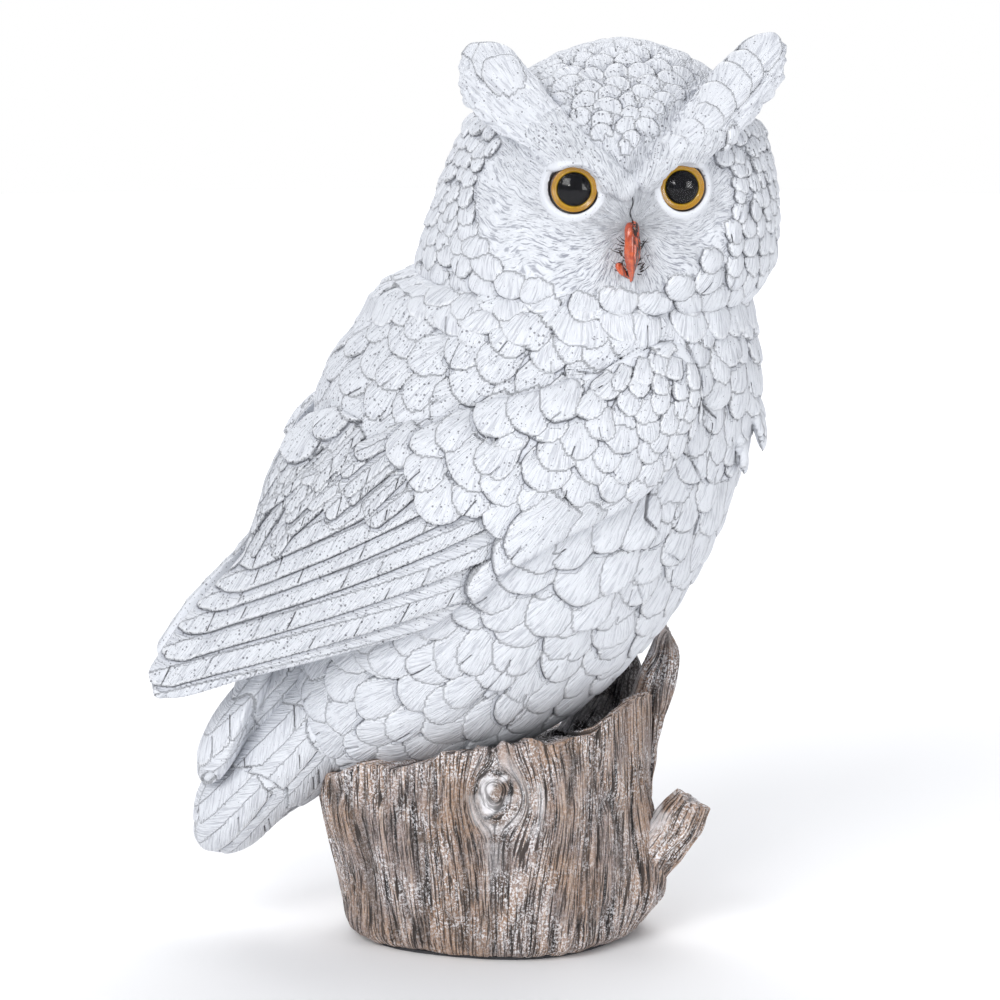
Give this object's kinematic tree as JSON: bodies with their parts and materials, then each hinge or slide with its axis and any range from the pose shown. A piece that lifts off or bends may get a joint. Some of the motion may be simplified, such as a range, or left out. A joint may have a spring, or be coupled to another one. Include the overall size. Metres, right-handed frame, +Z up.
{
  "type": "owl figurine",
  "caption": "Free-standing owl with ear tufts perched side-on on a broken tree stump, head turned to the viewer, with inset glossy eyes and a small hooked beak.",
  "frame": {"origin": "centre of the base, on the underside of the felt pad", "axes": "+Z up, the owl's face looks along -Y and its breast points along +X"},
  "size_m": [0.2039, 0.1288, 0.2977],
  "materials": {
    "plumage": "cast resin, painted cool white with fine dark specks and a grey wash in the grooves",
    "bark": "cast resin, painted brown with black grooves and a dry-brushed white frost",
    "beak": "painted orange-red, glossy",
    "iris": "amber ring with a dark rim, glossy",
    "pupil": "black, polished",
    "lens": "clear, polished",
    "plate": "bare cast resin",
    "felt": "pressed felt",
    "dowel": "plain rod"
  },
  "bodies": {
    "root": {"felt_pad": "felt", "base_plate": "plate", "stump": "bark", "branch_stub": "bark", "tall_splinter": "bark", "inner_splinter": "bark", "seat_dowels": "dowel", "owl_body": "plumage", "right_wing": "plumage", "left_wing": "plumage", "tail": "plumage", "upper_tail": "plumage", "neck_dowel": "dowel", "owl_head": "plumage", "right_brow_tuft": "plumage", "left_brow_tuft": "plumage", "upper_beak": "beak", "lower_beak": "beak", "right_eye_ring": "iris", "left_eye_ring": "iris", "right_pupil": "pupil", "left_pupil": "pupil", "right_eye_lens": "lens", "left_eye_lens": "lens"}
  },
  "joints": []
}
